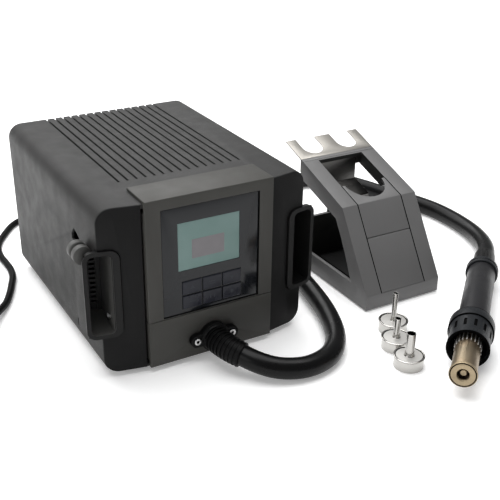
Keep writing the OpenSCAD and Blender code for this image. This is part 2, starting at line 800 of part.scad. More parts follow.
// Edge of a side strip turned down along the opening
module stand_flange() {
    polygon([
        [opening_y0, bend_z + (opening_y0 - bend_y) * top_slope - 1], [rear_edge_y - 2, rear_edge_z - 2],
        [rear_edge_y - 2, flange_z0],
        [opening_y0 + 8, flange_z0 - (rear_edge_y - opening_y0 - 10) * top_slope],
        [opening_y0, bend_z + (opening_y0 - bend_y) * top_slope - 5]
    ]);
}

// Part of the bent sheet between the side strips, from y0 to y1 or from z0 to z1
module stand_middle() {
    facing_side(stand_x + stand_strip + 0.7, stand_w - 2 * stand_strip - 1.4) intersection() {
        stand_profile(stand_wall - 0.5);
        children();
    }
}

// Upper middle panel with the round notch that the handpiece hangs in
module stand_cradle() {
    mid = stand_x + stand_w / 2;
    color([0.34, 0.34, 0.35]) at_station() difference() {
        stand_middle() translate([stand_y0, front_seam_z + 0.4]) square([opening_y0 + 3 - stand_y0, 80]);
        translate([mid, opening_y0 + 4, 60]) cylinder(h = 80, r = 24);
        translate([mid - 24, opening_y0 + 4, 60]) cube([48, 30, 80]);
    }
}

// Bent plate under the opening that keeps the hot nose off the bench: a back, a sloping floor and a
// turned-down lip
module stand_guard() {
    mid = stand_x + stand_w / 2;
    back = rear_edge_y - 4.3;
    drop = (back - guard_front) * top_slope;
    color([0.6, 0.6, 0.58]) at_station() {
        translate([mid - 27, back - 1.2, guard_z]) cube([49, 1.2, 118 - guard_z]);
        facing_side(mid - 32, 55) polygon([
            [back, guard_z], [back, guard_z + 1.2], [guard_front, guard_z + 1.2 - drop],
            [guard_front - 1.6, guard_z - drop - 0.4], [guard_front - 1.6, guard_z - drop - 12],
            [guard_front - 0.4, guard_z - drop - 12], [guard_front - 0.4, guard_z - drop - 0.2]
        ]);
    }
}

module stand_front() {
    color([0.34, 0.34, 0.35]) at_station() stand_middle()
        translate([stand_y0 - 1, rim_z + 0.2]) square([80, front_seam_z - rim_z - 0.6]);
}

module stand_base() {
    color([0.2, 0.2, 0.2]) at_station() translate([stand_x + stand_wall + 0.1, 0, stand_z0]) {
        translate([0, stand_y0 + 4.1, 0])
            cube([stand_w - 2 * stand_wall - 0.2, rear_edge_y - stand_y0 - 8.2, 3]);
        translate([12, 12, 2.9]) cube([stand_w - 2 * stand_wall - 24, 92, 9]);
    }
}

module nozzle_comb() {
    mid = stand_x + stand_w / 2;
    color([0.78, 0.77, 0.74]) at_station() {
        translate([mid, rear_edge_y + 0.6, rear_edge_z - 1.2]) rotate([top_angle, 0, 0]) difference() {
            linear_extrude(comb_t) difference() {
                translate([-stand_w / 2, 0]) square([stand_w, prong_l + 2]);
                for (x = [-22.5, 22.5]) {
                    translate([x, 6 + notch_w / 2]) circle(notch_w / 2);
                    translate([x - notch_w / 2, 6 + notch_w / 2]) square([notch_w, 40]);
                }
            }
        }
        translate([stand_x, rear_edge_y + 0.1, flange_z0 + 0.5])
            cube([stand_w, comb_t, 123.8 - flange_z0 - 0.5]);
    }
}

module stand_screws() {
    mid = stand_x + stand_w / 2;
    color([0.6, 0.6, 0.6]) at_station() for (x = [-30, 30])
        translate([mid + x, rear_edge_y + 0.1 + comb_t, 116]) rotate([-90, 0, 0]) screw_head(3, 2);
}

module stand_feet() {
    color([0.05, 0.05, 0.05]) at_station()
        for (x = [stand_x + 12, stand_x + stand_w - 12], y = [8, 114]) translate([x, y, 0])
            cylinder(h = stand_z0, r = 7);
}

// Nozzle: cup with its open side down, rolled rim on top, tube standing up
module nozzle(at, r, h) {
    top = cup_d / 2;
    color([0.82, 0.82, 0.8]) at_station() translate([at[0], at[1], 0]) rotate_extrude() polygon([
        [top - 0.9, 0], [top - 0.2, 0], [top - 0.2, cup_h - 1.8], [top + 0.6, cup_h - 1],
        [top + 0.6, cup_h - 0.3],
        [top - 0.2, cup_h + 0.1], [top - 1.2, cup_h - 0.6], [r + 2.2, cup_h - 0.6], [r + 1, cup_h + 2.5],
        [r, cup_h + 4], [r, cup_h + h], [r - 0.5, cup_h + h], [r - 0.5, cup_h - 1.4], [top - 0.9, cup_h - 1.4]
    ]);
}

module nozzle_slim() { nozzle(nozzle_slim_at, 2.6, 30); }
module nozzle_medium() { nozzle(nozzle_medium_at, 3.2, 20); }
module nozzle_wide() { nozzle(nozzle_wide_at, 4.4, 23); }

// Cords: a tube swept along its route, as one closed skin

function unit(v) = v / norm(v);
function direction(path, i) =
    unit(path[min(i + 1, len(path) - 1)] - path[max(i - 1, 0)]);
// Unit vector level with the bench, square to the route
function across(t) = unit(cross(t, [0, 0, 1]));
function ring(path, i, r, sides) =
    let (t = direction(path, i), u = across(t), v = cross(u, t))
    [for (k = [0 : sides - 1]) path[i] + r * (cos(360 * k / sides) * u + sin(360 * k / sides) * v)];

module tube_along(path, r, sides) {
    n = len(path);
    skin = [for (i = [0 : n - 1]) each ring(path, i, r, sides)];
    walls = [for (i = [0 : n - 2], k = [0 : sides - 1]) let (m = (k + 1) % sides)
        [i * sides + k, i * sides + m, (i + 1) * sides + m, (i + 1) * sides + k]];
    polyhedron(points = skin, faces = concat(
        walls, [[for (k = [sides - 1 : -1 : 0]) k]], [[for (k = [0 : sides - 1]) (n - 1) * sides + k]]),
            convexity = 10);
}

module air_hose() {
    color([0.05, 0.05, 0.05]) at_station() tube_along(hose_points, hose_d / 2, 12);
}

module cord_gland() {
    color([0.05, 0.05, 0.05]) at_station() translate([gland_x, rear_y + rear_t, gland_z])
        rotate([-90, 0, 0]) {
        translate([0, 0, -8]) cylinder(h = 9, r = 5.4);
        cylinder(h = 4, r = 8.5);
        translate([0, 0, 3.9]) cylinder(h = gland_l - 1.9, r1 = 6.4, r2 = 4.6);
    }
}

module mains_cord() {
    color([0.05, 0.05, 0.05]) at_station() {
        tube_along(cord_points, lead_r, 8);
        tube_along(tail_points, lead_r, 8);
    }
}

// The turns of the stored lead, as one ring
module cord_coil() {
    color([0.05, 0.05, 0.05]) at_station() translate([coil_at[0], coil_at[1], 0]) rotate_extrude()
        translate([coil_in, 0]) square([coil_d / 2 - coil_in, coil_h]);
}

// Plug with two round pins, lying on the bench with its pins to the rear
module mains_plug() {
    color([0.06, 0.06, 0.06]) at_station() translate(plug_at) rotate([-90, 0, 0]) {
        rotate_extrude()
            polygon([[0, 0], [4.8, 0], [6.4, 24], [9, 26], [13.5, 33], [15.5, 37], [15.5, 46], [17.4, 49],
            [17.4, 62], [0, 62]]);
        for (x = [-9.5, 9.5]) translate([x, 0, 61.9]) {
            cylinder(h = 18.6, r = 2.4);
            translate([0, 0, 18.5]) cylinder(h = 0.6, r1 = 2.4, r2 = 1.8);
        }
    }
}

housing_shell();
base_tray();
front_wing_left();
front_wing_right();
handle_left();
handle_right();
handle_screws();
upper_panel();
lower_panel();
display_window();
lcd_module();
button_1();
button_2();
button_3();
button_4();
button_5();
button_6();
display_board();
hose_flange();
flange_screws();
cable_hook();
rear_panel();
air_filter_grille();
rear_screws();
switch_body();
power_rocker();
fuse_holder();
station_feet();
blower_housing();
blower_impeller();
blower_motor();
air_duct();
transformer();
control_board();
outlet_disc();
heater_tube();
heater_core();
front_collar();
grip_tube();
rear_collar();
grip_boot();
stand_frame();
stand_cradle();
stand_guard();
stand_front();
stand_base();
nozzle_comb();
stand_screws();
stand_feet();
nozzle_slim();
nozzle_medium();
nozzle_wide();
hose_relief();
air_hose();
cord_gland();
mains_cord();
cord_coil();
mains_plug();
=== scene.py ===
import bmesh
import bpy
import math
from mathutils import Matrix, Vector


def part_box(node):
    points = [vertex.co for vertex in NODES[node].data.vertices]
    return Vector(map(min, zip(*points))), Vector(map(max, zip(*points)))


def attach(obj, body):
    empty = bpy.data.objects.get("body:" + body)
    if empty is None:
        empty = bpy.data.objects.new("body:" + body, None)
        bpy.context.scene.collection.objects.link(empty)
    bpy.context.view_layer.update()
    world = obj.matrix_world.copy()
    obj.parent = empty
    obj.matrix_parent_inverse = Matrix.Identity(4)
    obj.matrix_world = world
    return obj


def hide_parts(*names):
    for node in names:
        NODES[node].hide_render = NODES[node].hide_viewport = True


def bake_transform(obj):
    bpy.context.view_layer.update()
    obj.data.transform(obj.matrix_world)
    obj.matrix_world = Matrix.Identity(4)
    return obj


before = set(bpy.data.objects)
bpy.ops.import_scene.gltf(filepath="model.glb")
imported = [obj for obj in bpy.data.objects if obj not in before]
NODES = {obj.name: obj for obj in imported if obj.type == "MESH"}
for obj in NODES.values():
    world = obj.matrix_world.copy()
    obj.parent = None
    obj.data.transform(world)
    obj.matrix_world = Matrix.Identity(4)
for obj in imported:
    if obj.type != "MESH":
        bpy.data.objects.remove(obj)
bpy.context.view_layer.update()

# Dimensions below are millimetres from the station's front centre on the bench: x right, y back, z up.
ORIGIN = Vector((120.65, 45.2, 0.0))
SMOOTH_BELOW = 38  # degrees between faces, above which an edge is drawn sharp
scene = bpy.context.scene


def at(p):
    """A point in station millimetres, as a point of the frame in metres."""
    return (Vector(p) - ORIGIN) * 0.001


# ---------------------------------------------------------------- materials

def shader(name):
    """A material with one Principled shader, as (material, node tree, shader)."""
    m = bpy.data.materials.new(name)
    m.use_nodes = True
    nt = m.node_tree
    nt.nodes.clear()
    out = nt.nodes.new("ShaderNodeOutputMaterial")
    bsdf = nt.nodes.new("ShaderNodeBsdfPrincipled")
    nt.links.new(bsdf.outputs[0], out.inputs[0])
    return m, nt, bsdf


def noise(nt, scale, detail=3.0, rough=0.5, stretch=None):
    """Noise laid over the object's own coordinates; stretch scales it along each axis."""
    tex = nt.nodes.new("ShaderNodeTexNoise")
    tex.inputs["Scale"].default_value = scale
    tex.inputs["Detail"].default_value = detail
    tex.inputs["Roughness"].default_value = rough
    co = nt.nodes.new("ShaderNodeTexCoord")
    if stretch:
        mp = nt.nodes.new("ShaderNodeMapping")
        mp.inputs["Scale"].default_value = stretch
        nt.links.new(co.outputs["Object"], mp.inputs["Vector"])
        nt.links.new(mp.outputs[0], tex.inputs["Vector"])
    else:
        nt.links.new(co.outputs["Object"], tex.inputs["Vector"])
    return tex


# The band of a noise's values that holds nearly all of its pattern
NOISE_LOW, NOISE_HIGH = 0.3, 0.7


def ramp(nt, source, low, high):
    """A noise turned into a colour between low and high."""
    r = nt.nodes.new("ShaderNodeValToRGB")
    r.color_ramp.elements[0].position = NOISE_LOW
    r.color_ramp.elements[1].position = NOISE_HIGH
    r.color_ramp.elements[0].color = (*low, 1)
    r.color_ramp.elements[1].color = (*high, 1)
    nt.links.new(source, r.inputs[0])
    return r


def spread(nt, source, low, high):
    """A noise turned into a value between low and high."""
    mr = nt.nodes.new("ShaderNodeMapRange")
    mr.inputs["From Min"].default_value = NOISE_LOW
    mr.inputs["From Max"].default_value = NOISE_HIGH
    mr.inputs["To Min"].default_value = low
    mr.inputs["To Max"].default_value = high
    nt.links.new(source, mr.inputs["Value"])
    return mr


def material(name, color, rough, metallic=0.0, vary=0.06, grain=0.0, grain_scale=1800, patch=9.0,
             rough_vary=0.06, spec=0.5, coat=0.0, stretch=None, tint=None, sheen=0.0):
    """A finish with cloudy colour and gloss variation and a fine surface grain.

    vary is how far the colour strays from its mean, patch the scale of the clouds, and tint the colour
    of the lighter clouds.
    """
    m, nt, b = shader(name)
    cloud = noise(nt, patch, 4.0)
    low = [c * (1 - vary) for c in color]
    high = [min(1.0, c * (1 + vary)) for c in (tint or color)]
    nt.links.new(ramp(nt, cloud.outputs[0], low, high).outputs[0], b.inputs["Base Color"])
    gloss = noise(nt, patch * 6, 3.0, stretch=stretch)
    glossy, dull = max(0.02, rough - rough_vary), min(1, rough + rough_vary)
    nt.links.new(spread(nt, gloss.outputs[0], glossy, dull).outputs[0], b.inputs["Roughness"])
    b.inputs["Metallic"].default_value = metallic
    b.inputs["Specular IOR Level"].default_value = spec
    b.inputs["Coat Weight"].default_value = coat
    b.inputs["Coat Roughness"].default_value = 0.15
    b.inputs["Sheen Weight"].default_value = sheen
    if grain:
        fine = noise(nt, grain_scale, 2.0, 0.6, stretch)
        bump = nt.nodes.new("ShaderNodeBump")
        bump.inputs["Strength"].default_value = grain
        bump.inputs["Distance"].default_value = 0.0003
        nt.links.new(fine.outputs[0], bump.inputs["Height"])
        nt.links.new(bump.outputs[0], b.inputs["Normal"])
    return m


MATS = {
    "housing": material("textured_housing_paint", (0.036, 0.0357, 0.0353), 0.52, vary=0.04, grain=0.5,
                        grain_scale=1500, spec=0.12),
    "stand": material("textured_stand_paint", (0.125, 0.124, 0.124), 0.5, vary=0.04, grain=0.5,
                      grain_scale=1500, spec=0.45),
    # Painted shade: a darker copy of the stand's paint for the faces that look into the stand or into a seam.
    "stand_inside": material("stand_inside_painted_shade", (0.02, 0.02, 0.019), 0.5, vary=0.08, grain=0.3,
                             grain_scale=1500, spec=0.12),
    # Painted light: a paler copy of the handle's black plastic for the walls and floor of the left finger
    # pocket, where light falls in.
    "pocket": material("handle_pocket_painted_light", (0.075, 0.075, 0.072), 0.5, vary=0.08, grain=0.3,
                       grain_scale=2000, spec=0.15),
    "panel": material("olive_panel_paint", (0.052, 0.051, 0.047), 0.45, vary=0.05, grain=0.15,
                      grain_scale=2600, spec=0.16),
    "wing": material("satin_black_wing", (0.0105, 0.0105, 0.0107), 0.5, vary=0.08, grain=0.25,
                     grain_scale=2200, spec=0.08),
    "black": material("moulded_black_plastic", (0.003, 0.003, 0.0032), 0.38, vary=0.1, grain=0.3,
                      grain_scale=2200, spec=0.12),
    "handle": material("handle_plastic", (0.0075, 0.0075, 0.0075), 0.46, vary=0.08, grain=0.4,
                       grain_scale=2000, spec=0.15),
    "hook": material("hook_plastic", (0.085, 0.085, 0.082), 0.5, vary=0.06, grain=0.3, grain_scale=2000,
                     spec=0.3),
    "glass": material("display_glass_face", (0.008, 0.009, 0.011), 0.16, vary=0.1, rough_vary=0.02,
                      spec=0.3),
    "button": material("button_caps", (0.012, 0.013, 0.02), 0.3, vary=0.08, spec=0.25),
    "rubber": material("black_rubber", (0.0025, 0.0025, 0.0027), 0.42, vary=0.12, grain=0.3,
                       grain_scale=1600, spec=0.1),
    "hose": material("hose_rubber", (0.003, 0.003, 0.0032), 0.3, vary=0.12, grain=0.05, grain_scale=700,
                     spec=0.16),
    "cord": material("cord_jacket", (0.004, 0.004, 0.0042), 0.45, vary=0.12, grain=0.1,
                     grain_scale=1600, spec=0.05),
    "screw": material("screw_steel", (0.62, 0.62, 0.62), 0.28, metallic=1.0, vary=0.06),
    "steel": material("polished_steel", (0.46, 0.45, 0.43), 0.2, metallic=1.0, vary=0.05,
                      rough_vary=0.05),
    "plate_steel": material("nozzle_plate_steel", (0.52, 0.51, 0.49), 0.45, metallic=0.45, vary=0.06,
                            grain=0.1, grain_scale=1500),
    "comb": material("brushed_comb_steel", (0.34, 0.325, 0.3), 0.42, metallic=1.0, vary=0.06, grain=0.1,
                     grain_scale=900, stretch=(0.06, 1, 1)),
    # The guard's brushed steel is made darker than the comb's, as painted shade for its place inside the
    # stand.
    "guard": material("brushed_guard_steel_painted_shade", (0.13, 0.127, 0.122), 0.3, metallic=1.0, vary=0.05,
                      grain=0.1, grain_scale=900, stretch=(0.06, 1, 1)),
    "heater": material("heat_tinted_steel", (0.3, 0.25, 0.175), 0.42, metallic=1.0, vary=0.14, patch=40,
                       tint=(0.26, 0.2, 0.135)),
    "disc": material("outlet_brass", (0.37, 0.3, 0.2), 0.55, metallic=1.0, vary=0.1, patch=60,
                     grain=0.3, grain_scale=1200),
    "ceramic": material("heater_ceramic", (0.075, 0.045, 0.03), 0.7, vary=0.15, patch=80, grain=0.4,
                        grain_scale=900),
    "grip": material("grip_paint", (0.019, 0.019, 0.0205), 0.4, vary=0.05, grain=0.12, grain_scale=2600,
                     spec=0.14),
    "collar": material("collar_plastic", (0.011, 0.0125, 0.0145), 0.42, vary=0.07, grain=0.3,
                       grain_scale=2200, spec=0.15),
    "pcb": material("board_mask", (0.015, 0.09, 0.04), 0.35, vary=0.2, patch=60),
    "iron": material("laminated_iron", (0.12, 0.09, 0.07), 0.5, metallic=0.6, vary=0.2, patch=90,
                     stretch=(1, 1, 60), grain=0.5, grain_scale=300),
    "fan": material("fan_plastic", (0.5, 0.5, 0.45), 0.45, vary=0.05, grain=0.2),
    "red": material("rocker_red", (0.3, 0.01, 0.01), 0.25, vary=0.08, coat=0.3),
    "mark": material("printed_mark", (0.03, 0.033, 0.04), 0.5, vary=0.03, spec=0.2),
    "velcro": material("cord_tie_fabric", (0.02, 0.02, 0.022), 0.9, vary=0.2, patch=200, grain=0.8,
                       grain_scale=1500, sheen=0.3),
    # Painted shade: a near-black finish for seams, grooves, sockets, bores and slots, where shade falls.
    "painted_shade": material("shadow_interior", (0.0012, 0.0012, 0.0012), 0.75, vary=0.2, spec=0.03),
}


def lit_screen(name, patch, low, high, glow, rough, spec=0.5):
    """A screen's face with a faint light of its own."""
    m, nt, b = shader(name)
    c = ramp(nt, noise(nt, patch).outputs[0], low, high)
    nt.links.new(c.outputs[0], b.inputs["Base Color"])
    nt.links.new(c.outputs[0], b.inputs["Emission Color"])
    b.inputs["Emission Strength"].default_value = glow
    b.inputs["Roughness"].default_value = rough
    b.inputs["Specular IOR Level"].default_value = spec
    return m


MATS["lcd"] = lit_screen("backlit_screen", 30.0, (0.1, 0.163, 0.152), (0.115, 0.178, 0.168), 0.25, 0.25, 0.3)
MATS["lcd_inner"] = lit_screen("screen_field", 60.0, (0.12, 0.113, 0.12), (0.14, 0.133, 0.14), 0.15, 0.35)


# ---------------------------------------------------------------- camera, floor and light

CAMERA_PLACE = (-323.9, -624.9, 458.7)
CAMERA_LOOK = (0.4504, 0.7751, -0.4429)
CAMERA_ROLL = 0.84  # degrees
CAMERA_LENS = 63.37  # mm, on a sensor 36 mm wide


def make_camera():
    fwd = Vector(CAMERA_LOOK).normalized()
    right = fwd.cross(Vector((0, 0, 1))).normalized()
    up = right.cross(fwd)
    roll = math.radians(CAMERA_ROLL)
    r = right * math.cos(roll) + up * math.sin(roll)
    u = up * math.cos(roll) - right * math.sin(roll)
    data = bpy.data.cameras.new("camera")
    data.sensor_width = 36
    data.lens = CAMERA_LENS
    data.clip_start = 0.02
    data.clip_end = 50
    cam = bpy.data.objects.new("camera", data)
    scene.collection.objects.link(cam)
    rot = Matrix((r, u, -fwd)).transposed().to_4x4()
    cam.matrix_world = Matrix.Translation(at(CAMERA_PLACE)) @ rot
    scene.camera = cam


def make_stage():
    """A pale floor that reaches 30 m each way, and glows a little so that its shadows stay light."""
    bm = bmesh.new()
    reach, steps = 30.0, 12
    marks = [(i / steps - 0.5) * 2 * reach for i in range(steps + 1)]
    grid = [[bm.verts.new((x, y, 0)) for x in marks] for y in marks]
    for j in range(steps):
        for i in range(steps):
            bm.faces.new((grid[j][i], grid[j][i + 1], grid[j + 1][i + 1], grid[j + 1][i]))
    me = bpy.data.meshes.new("studio_floor")
    bm.to_mesh(me)
    floor = bpy.data.objects.new("studio_floor", me)
    scene.collection.objects.link(floor)
    pale = material("pale_floor", (0.95, 0.95, 0.95), 0.7, vary=0.01, spec=0.1)
    glow = pale.node_tree.nodes["Principled BSDF"].inputs
    glow["Emission Color"].default_value = (1, 1, 1, 1)
    glow["Emission Strength"].default_value = 0.22
    floor.data.materials.append(pale)


def area_light(name, place, target, size, power):
    """A white rectangular light at place, in metres, turned towards target."""
    data = bpy.data.lights.new(name, "AREA")
    data.shape = "RECTANGLE"
    data.size, data.size_y = size
    data.energy = power
    o = bpy.data.objects.new(name, data)
    scene.collection.objects.link(o)
    o.location = place
    o.rotation_euler = (Vector(target) - Vector(place)).to_track_quat("-Z", "Y").to_euler()


def make_lights():
    """An even white surround, with soft lights above, behind and to the left."""
    world = bpy.data.worlds.new("studio")
    scene.world = world
    world.use_nodes = True
    bg = world.node_tree.nodes["Background"]
    bg.inputs[0].default_value = (1, 1, 1, 1)
    bg.inputs[1].default_value = 0.27
    area_light("soft_top", (0.0, 0.4, 2.1), (0.05, 0.1, 0), (2.4, 1.9), 60)
    area_light("soft_back", (-0.1, 2.0, 1.5), (0.0, 0.0, 0.05), (2.6, 1.1), 32)
    area_light("soft_left", (-2.0, -0.3, 0.8), (-0.1, 0.05, 0.05), (1.4, 0.9), 8)


# ---------------------------------------------------------------- mesh helpers

def add(name, me, body, mat, smooth=SMOOTH_BELOW):
    """A visible piece on a body, with one finish."""
    o = bpy.data.objects.new(name, me)
    scene.collection.objects.link(o)
    me.materials.clear()
    me.materials.append(MATS[mat])
    sharpen(me, smooth)
    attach(o, body)
    return o


def finished_mesh(name, bm):
    """The working mesh as a Blender mesh, with its faces turned outwards."""
    bmesh.ops.recalc_face_normals(bm, faces=bm.faces)
    me = bpy.data.meshes.new(name)
    bm.to_mesh(me)
    bm.free()
    return me


def middle(node):
    """The middle of a node's box, in station millimetres."""
    lo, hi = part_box(node)
    return [(lo[k] + hi[k]) * 500 + ORIGIN[k] for k in range(3)]


def sharpen(me, degrees):
    """Smooth shading with sharp edges above an angle."""
    bm = bmesh.new()
    bm.from_mesh(me)
    limit = math.radians(degrees)
    for f in bm.faces:
        f.smooth = True
    for e in bm.edges:
        e.smooth = not (len(e.link_faces) == 2 and e.calc_face_angle(0.0) > limit)
    bm.to_mesh(me)
    bm.free()


def refined(node, body, mat, bevel, segments=3, cut=None, merge=True):
    """A CAD node's shape with its sharp edges rolled over by bevel metres; it stands for the node.

    merge joins the flat faces first, and cut is a mesh taken away.
    """
    me = NODES[node].data.copy()
    bm = bmesh.new()
    bm.from_mesh(me)
    bmesh.ops.remove_doubles(bm, verts=bm.verts, dist=2e-6)
    if merge:
        bmesh.ops.dissolve_limit(bm, angle_limit=math.radians(0.6), verts=bm.verts, edges=bm.edges)
    bm.to_mesh(me)
    bm.free()
    tmp = bpy.data.objects.new("tmp", me)
    scene.collection.objects.link(tmp)
    if cut:
        cutter = bpy.data.objects.new("cutter", cut)
        scene.collection.objects.link(cutter)
        away = tmp.modifiers.new("cut", "BOOLEAN")
        away.operation, away.solver, away.object = "DIFFERENCE", "EXACT", cutter
    mod = tmp.modifiers.new("edge", "BEVEL")
    mod.width = bevel
    mod.segments = segments
    mod.limit_method = "ANGLE"
    mod.angle_limit = math.radians(32)
    mod.use_clamp_overlap = True
    done = bpy.data.meshes.new_from_object(tmp.evaluated_get(bpy.context.evaluated_depsgraph_get()))
    bpy.data.objects.remove(tmp)
    if cut:
        bpy.data.objects.remove(cutter)
    o = add(node + "_finished", done, body, mat)
    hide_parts(node)
    return o


def second_finish(o, mat, chosen):
    """Give the faces picked by chosen(centre, normal), in station millimetres, another finish."""
    me = o.data
    me.materials.append(MATS[mat])
    for f in me.polygons:
        centre = Vector((f.center.x * 1000 + ORIGIN.x, f.center.y * 1000 + ORIGIN.y, f.center.z * 1000))
        if chosen(centre, f.normal):
            f.material_index = len(me.materials) - 1


def smooth_path(points, step=4.0):
    """Points along a smooth curve through the route's points, a few millimetres apart."""
    p = [Vector(q) for q in points]
    q = [2 * p[0] - p[1]] + p + [2 * p[-1] - p[-2]]
    out = []
    for i in range(1, len(q) - 2):
        n = max(2, int((q[i + 1] - q[i]).length / step))
        for k in range(n):
            t = k / n
            a, b, c, d = q[i - 1], q[i], q[i + 1], q[i + 2]
            out.append(0.5 * (2 * b + (c - a) * t + (2 * a - 5 * b + 4 * c - d) * t * t
                              + (3 * b - a - 3 * c + d) * t ** 3))
    out.append(p[-1])
    return out


def tube_mesh(name, points, radius, sides):
    """A round tube with closed ends along points in millimetres."""
    bm = bmesh.new()
    n = len(points)
    tangents = [(points[min(i + 1, n - 1)] - points[max(i - 1, 0)]).normalized() for i in range(n)]
    normal = tangents[0].cross(Vector((0, 0, 1))).normalized()
    rings = []
    for p, t in zip(points, tangents):
        normal = (normal - t * normal.dot(t)).normalized()
        other = t.cross(normal)
        ring = []
        for k in range(sides):
            a = 2 * math.pi * k / sides
            ring.append(bm.verts.new(at(p + (normal * math.cos(a) + other * math.sin(a)) * radius)))
        rings.append(ring)
    for i in range(n - 1):
        for k in range(sides):
            m = (k + 1) % sides
            bm.faces.new((rings[i][k], rings[i][m], rings[i + 1][m], rings[i + 1][k]))
    bm.faces.new(list(reversed(rings[0])))
    bm.faces.new(rings[-1])
    return finished_mesh(name, bm)


def lathe_mesh(name, profile, place, steps=96, wobble=None):
    """A closed profile of (radius, height) turned about a local z axis, which place sets in millimetres.

    wobble(angle, height) scales the radius.
    """
    bm = bmesh.new()
    rings = []
    for r, h in profile:
        if r < 1e-6:
            rings.append([bm.verts.new(at(place @ Vector((0, 0, h))))])
            continue
        ring = []
        for k in range(steps):
            a = 2 * math.pi * k / steps
            rr = r * (wobble(a, h) if wobble else 1.0)
            ring.append(bm.verts.new(at(place @ Vector((rr * math.cos(a), rr * math.sin(a), h)))))
        rings.append(ring)
    for i in range(len(rings)):
        p, q = rings[i], rings[(i + 1) % len(rings)]
        if len(p) == 1 and len(q) == 1:
            continue
        for k in range(steps):
            m = (k + 1) % steps
            if len(p) == 1:
                bm.faces.new((p[0], q[m], q[k]))
            elif len(q) == 1:
                bm.faces.new((p[k], p[m], q[0]))
            else:
                bm.faces.new((p[k], p[m], q[m], q[k]))
    return finished_mesh(name, bm)


def rounded(profile, radius, steps=3):
    """The closed profile with each corner off the axis replaced by a short arc."""
    out = []
    n = len(profile)
    for i in range(n):
        a, b, c = (Vector(profile[j % n]) for j in (i - 1, i, i + 1))
        if b.x < 1e-6:
            out.append(tuple(b))
            continue
        r = min(radius, (a - b).length * 0.45, (c - b).length * 0.45)
        u, v = (a - b).normalized(), (c - b).normalized()
        if u.dot(v) < -0.97 or r < 1e-4:
            out.append(tuple(b))
            continue
        p, q = b + u * r, b + v * r
        for k in range(steps + 1):
            t = k / steps
            out.append(tuple(p * (1 - t) ** 2 + b * 2 * t * (1 - t) + q * t * t))
    return out


def plate_mesh(name, outline, depth, place):
    """A flat outline in local x and y given depth along local z."""
    bm = bmesh.new()
    base = [bm.verts.new(at(place @ Vector((x, y, 0)))) for x, y in outline]
    top = [bm.verts.new(at(place @ Vector((x, y, depth)))) for x, y in outline]
    bm.faces.new(list(reversed(base)))
    bm.faces.new(top)
    n = len(outline)
    for k in range(n):
        m = (k + 1) % n
        bm.faces.new((base[k], base[m], top[m], top[k]))
    return finished_mesh(name, bm)


def rounded_rect(x0, y0, w, h, r, steps=5):
    """Outline of a rectangle from its lower left corner, with round corners."""
    out = []
    for cx, cy, a0 in ((x0 + w - r, y0 + h - r, 0), (x0 + r, y0 + h - r, 90), (x0 + r, y0 + r, 180),
                       (x0 + w - r, y0 + r, 270)):
        for k in range(steps + 1):
            a = math.radians(a0 + 90 * k / steps)
            out.append((cx + r * math.cos(a), cy + r * math.sin(a)))
    return out


def front_plane(y):
    """Local x to the right, local y up and local z towards the viewer, on a plane facing the front."""
    return Matrix(((1, 0, 0, 0), (0, 0, -1, y), (0, 1, 0, 0), (0, 0, 0, 1)))


# ---------------------------------------------------------------- cords

HOSE_D, LEAD_D = 20.0, 7.5
# Air hose: from the bend limiter round the station's right side, behind the stand, to the handpiece's boot
HOSE_POINTS = [
    (10.15, -40.73, 19.31), (17.1, -50.9, 16.8), (28.6, -61.7, 13.6), (42.6, -68.8, 11.5),
    (59, -72.4, 10.4), (76.7, -70.2, 10), (91.9, -63.3, 10), (105.5, -50.2, 10), (116.5, -33, 10),
    (124.4, -14.9, 10), (130.4, 2, 10), (135.3, 19.3, 10), (140.2, 40.6, 10), (144.6, 63.1, 10),
    (149.3, 86.6, 10), (155, 112.2, 10), (162, 139, 10), (169.7, 166, 10), (178.6, 196, 10),
    (190, 225, 10), (205, 255, 10), (225, 284, 10), (250, 306, 10), (279, 316.5, 10),
    (308, 314, 10), (334, 300, 10), (353, 278, 10), (364, 253, 10), (372.5, 226.4, 10),
    (382, 200.7, 10), (391.4, 174, 10), (397.6, 145.5, 10), (398.6, 115.6, 10), (395.1, 87, 10.6),
    (388, 62, 11.8), (376.6, 39, 13.6), (363.1, 21.1, 14.9), (351.3, 10.2, 15.5),
]
# Mains lead: out of the gland, down to the bench, past the station's left side and onto the coil
CORD_POINTS = [
    (-25, 295.7, 40), (-25, 306, 38.4), (-25, 320, 32), (-25, 334, 22), (-25.4, 347, 12.5), (-28, 359.5, 6.2),
    (-35, 370.5, 3.9), (-46, 377.9, 3.75), (-59, 380.5, 3.75), (-72, 377.9, 3.75), (-83, 370, 3.75),
    (-91.6, 359.5, 3.75), (-100.4, 346.5, 3.75), (-109, 332.5, 3.75), (-115.4, 318, 3.75), (-119, 302, 3.75),
    (-119.8, 286, 3.75), (-119, 270, 3.75), (-119.2, 254, 3.75), (-122.1, 236.6, 3.75), (-127.4, 222, 3.75),
    (-134.4, 204, 3.75), (-144.2, 183.5, 4.1), (-155.7, 166, 6.8), (-165.8, 151, 9.9), (-176.5, 135, 11.25),
]
COIL_EXIT = (-278.9, 158, 4.2)
# From the coil up to the plug
TAIL_POINTS = [(-278.8, 174.8, 6), (-278.6, 182, 8), (-278.4, 189, 10.6), (-278, 199, 14.4), (-278, 208, 17)]
PLUG_AT = (-278, 209.1, 17.4)
COIL_AT = (-226, 146)
COIL_LAST = 1594  # degrees, the angle at which the lead leaves the coil
# The coil's angle in degrees, radius and height where it starts, starts down, lies on the bench and would end
COIL_LEGS = ((34, 47.0, 11.25), (594, 37.5, 11.25), (704, 33.3, 3.75), (1620, 52.8, 3.75))


